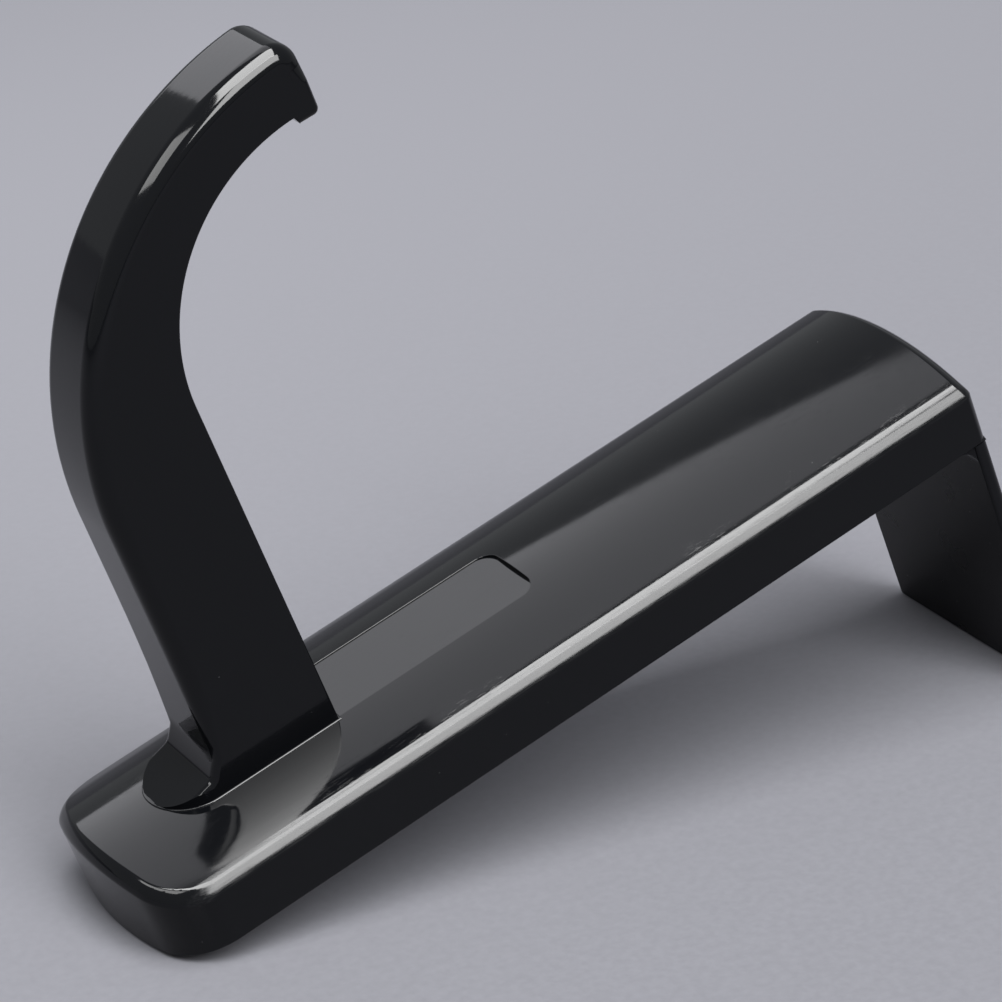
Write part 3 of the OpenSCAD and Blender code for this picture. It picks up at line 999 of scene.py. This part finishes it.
def screw_seat(leg, x, y):
    """The countersink and clearance bore of one bracket screw."""
    wide, narrow, sides = leg.screw_head / 2, leg.screw_bore / 2, 48
    low = leg.floor_set - 0.01
    deep, high = low + wide - narrow, low + leg.floor + 1
    seat = rod("screw_seat", wide, (x, y, low), (x, y, deep), sides, narrow)
    bore = rod("screw_bore", narrow, (x, y, deep - OVERLAP), (x, y, high), sides)
    return combine(seat, bore, "UNION")


def leg_radius(b, leg, edge):
    """Radius of an edge of the leg: its tip's corners, its rims and its upright outer edges."""
    middle = middle_of(edge)
    at_tip = middle.z < NEAR - leg.depth
    runs_through = abs(edge.verts[0].co.x - edge.verts[1].co.x) > 1
    if runs_through:
        return 1.0 if at_tip else 0
    if middle.z >= -NEAR:
        return 0
    on_inner_face = middle.x < b.length - leg.thickness + 1
    return 0.4 if on_inner_face or at_tip else b.end_corner


class STAND_OT_leg_bracket(bpy.types.Operator):
    """Models the leg with the floor that closes the base"""

    bl_idname = "stand.leg_bracket"
    bl_label = "Leg Bracket"

    def execute(self, context):
        b, leg = base_sizes(), leg_sizes()
        inner, clearance, spare = b.length - leg.thickness, 0.2, 0.8
        slab_outline = [
            ("line", (b.half, -leg.depth)),
            ("line", (b.half, 0)),
            ("line", (-b.half, 0)),
        ]
        slab = prism("leg_bracket_moulding", (-b.half, -leg.depth), slab_outline, leg.thickness)
        place(slab, turn=(90, 0, 90), move=(inner, 0, 0))
        round_edges(slab, lambda edge: leg_radius(b, leg, edge), 5)

        into_leg = inner + OVERLAP
        floor_plan = nose_plan(b, b.wall + clearance, into_leg)
        floor = prism("bracket_floor", *floor_plan, leg.floor, leg.floor_set)
        for x in (leg.screw_front, leg.screw_rear):
            for y in (-leg.screw_side, leg.screw_side):
                combine(floor, screw_seat(leg, x, y), "DIFFERENCE")

        start, side = inner - leg.root, b.half - b.wall - clearance
        middle_height = leg.floor_set + leg.floor / 2
        web = block("web", (start, -side, -NEAR), (into_leg, side, middle_height))
        combine(floor, web, "UNION")
        fillet = [
            ("arc", (start, -leg.root), -90, 12),
            ("line", (into_leg, -leg.root)),
            ("line", (into_leg, 0)),
        ]
        combine(floor, upright("root", (start, 0), fillet, 2 * b.half - spare), "UNION")
        combine(slab, floor, "UNION")
        finish_piece(slab, ["leg_bracket"], "satin_black")
        return {"FINISHED"}


# ------------------------------------------------------------------ adhesive pads


# Where each pad starts and ends, from the nose
PADS = {"front": (17.5, 62), "rear": (70, 115.5)}
PAD_CORNER, TAB_LENGTH, TAB_WIDTH = 3, 5, 9


class STAND_OT_adhesive_pads(bpy.types.Operator):
    """Models the two foam pads under the base and their release liners"""

    bl_idname = "stand.adhesive_pads"
    bl_label = "Adhesive Pads"

    def execute(self, context):
        leg = leg_sizes()
        bottom, half_tab = leg.floor_set - leg.pads, TAB_WIDTH / 2
        film = bottom - leg.liner
        for end, (low, high) in PADS.items():
            plan = round_rectangle(low, high, leg.pad_width, PAD_CORNER)
            pad = prism(f"{end}_pad_foam", *plan, leg.pads, bottom)
            round_edges(pad, lambda edge: 0.25 if is_sharp(edge) else 0, 4)
            finish_piece(pad, [f"{end}_foam_pad"], "foam")
            liner = prism(f"{end}_pad_release_film", *plan, leg.liner, film)
            tab = block("tab", (high - 1, -half_tab, film), (high + TAB_LENGTH, half_tab, bottom))
            combine(liner, tab, "UNION")
            finish_piece(liner, [f"{end}_pad_liner"], "liner")
        return {"FINISHED"}


class STAND_OT_screws(bpy.types.Operator):
    """Gives the hook's and the bracket's screws their plated finish"""

    bl_idname = "stand.screws"
    bl_label = "Screws"

    def execute(self, context):
        for name in ("hook_screws", "bracket_screws"):
            for screw_slot in bpy.data.objects[name].material_slots:
                screw_slot.material = finish("plated_steel")
        return {"FINISHED"}


# ------------------------------------------------------------------ stage


def softbox(name, centre, size, brightness, aim=(0, 0, 0.04), turn=0, colour=(1, 1, 1)):
    """A rectangular lamp in metres, aimed at a point and turned about that line in degrees."""
    lamp = bpy.data.lights.new(name, "AREA")
    lamp.shape, lamp.size, lamp.size_y = "RECTANGLE", *size
    lamp.energy = math.pi * brightness * size[0] * size[1]
    lamp.color = colour
    panel = bpy.data.objects.new(name, lamp)
    bpy.context.scene.collection.objects.link(panel)
    centre = Vector(centre)
    facing_back = (centre - Vector(aim)).to_track_quat("Z", "Y").to_matrix().to_4x4()
    spin = Matrix.Rotation(math.radians(turn), 4, "Z")
    panel.matrix_world = Matrix.Translation(centre) @ facing_back @ spin


def direction(azimuth, elevation, distance):
    """A point seen from the stand. Azimuth 0 is behind it, along +Y, and 90 is along +X."""
    azimuth, elevation = math.radians(azimuth), math.radians(elevation)
    level = distance * math.cos(elevation)
    return (level * math.sin(azimuth), level * math.cos(azimuth), distance * math.sin(elevation))


def lay_floor():
    """A level floor that sweeps up far behind the stand."""
    add_plane = bpy.ops.mesh.primitive_plane_add
    floor = primitive("studio_floor", add_plane, size=4, location=(0, -1.1, 0))
    far_edge, sweep = 1.99, math.radians(-70)
    with Editing(floor, "EDGE") as edit:
        edit.pick(lambda edge: middle_of(edge).y > far_edge)
        bpy.ops.mesh.spin(steps=12, angle=sweep, center=(0, 0.9, 0.35), axis=(1, 0, 0))
    settle(floor)
    floor.data.materials.append(plain_ground())


def hang_lights(scene):
    """Pale air, a large softbox above, two more in front and at the left, and a panel behind."""
    world = bpy.data.worlds.new("studio_air")
    world.use_nodes = True
    air = world.node_tree.nodes["Background"]
    air.inputs["Color"].default_value = (0.93, 0.96, 1.0, 1)
    air.inputs["Strength"].default_value = 0.39
    scene.world = world
    softbox(
        "key_softbox",
        centre=(-0.18, -0.41, 1.24),
        size=(0.76, 1.10),
        brightness=26.5,
        aim=(-0.18, -0.41, 0),
    )
    softbox(
        "front_softbox",
        centre=direction(azimuth=176, elevation=39.1, distance=1.3),
        size=(0.8, 0.69),
        brightness=19.4,
    )
    softbox(
        "left_softbox",
        centre=direction(azimuth=-99, elevation=47, distance=1.3),
        size=(1.0, 0.34),
        brightness=9.3,
    )
    softbox(
        "rear_panel",
        centre=(-0.058, 1.216, 1.590),
        size=(0.705, 2.217),
        brightness=2.3,
        aim=(-0.035, -0.069, 0.058),
        turn=2.6,
        colour=(0.95, 0.95, 1.0),
    )


def set_camera(scene):
    """A long lens that looks down at the stand from beside its nose."""
    azimuth, elevation, roll = map(math.radians, (-29.150, 24.883, 3.089))
    aim, distance = Vector((-0.00715, 0, 0.04279)), 0.54745
    turn = Matrix.Rotation(azimuth, 4, "Z") @ Matrix.Rotation(math.pi / 2 - elevation, 4, "X")
    turn = turn @ Matrix.Rotation(-roll, 4, "Z")
    lens = bpy.data.cameras.new("camera")
    lens.sensor_width, lens.lens = 36, 150.9
    camera = bpy.data.objects.new("camera", lens)
    scene.collection.objects.link(camera)
    camera.matrix_world = Matrix.Translation(aim + turn.col[2].xyz * distance) @ turn
    scene.camera = camera


class STAND_OT_stage(bpy.types.Operator):
    """Sets up the floor, the studio lights and the camera"""

    bl_idname = "stand.stage"
    bl_label = "Stage"

    def execute(self, context):
        lay_floor()
        hang_lights(context.scene)
        set_camera(context.scene)
        context.scene.view_settings.view_transform = "Standard"
        return {"FINISHED"}


# ------------------------------------------------------------------ registration


OPERATORS = (
    STAND_OT_stage,
    STAND_OT_base_shell,
    STAND_OT_hook,
    STAND_OT_leg_bracket,
    STAND_OT_adhesive_pads,
    STAND_OT_screws,
)


class STAND_PT_panel(bpy.types.Panel):
    """Lists the stand's sizes and the operators that model it"""

    bl_idname = "STAND_PT_panel"
    bl_label = "Headphone Stand"
    bl_space_type = "VIEW_3D"
    bl_region_type = "UI"
    bl_category = "Headphone Stand"

    def draw(self, context):
        for name in GROUP_NAMES:
            group = getattr(context.scene, name)
            box = self.layout.box()
            for key in group.__annotations__:
                box.prop(group, key)
        for operator in OPERATORS:
            self.layout.operator(operator.bl_idname)


GROUP_NAMES = {
    "stand_base": StandBaseSizes,
    "stand_leg": StandLegSizes,
    "stand_hook": StandHookSizes,
    "stand_colours": StandColours,
}
CLASSES = (*GROUP_NAMES.values(), *OPERATORS, STAND_PT_panel)


def register():
    for cls in CLASSES:
        bpy.utils.register_class(cls)
    for name, group in GROUP_NAMES.items():
        setattr(bpy.types.Scene, name, bpy.props.PointerProperty(type=group))


def unregister():
    for name in GROUP_NAMES:
        delattr(bpy.types.Scene, name)
    for cls in reversed(CLASSES):
        bpy.utils.unregister_class(cls)


def main():
    register()
    for operator in OPERATORS:
        group, _, action = operator.bl_idname.partition(".")
        getattr(getattr(bpy.ops, group), action)()


if __name__ == "__main__":
    main()
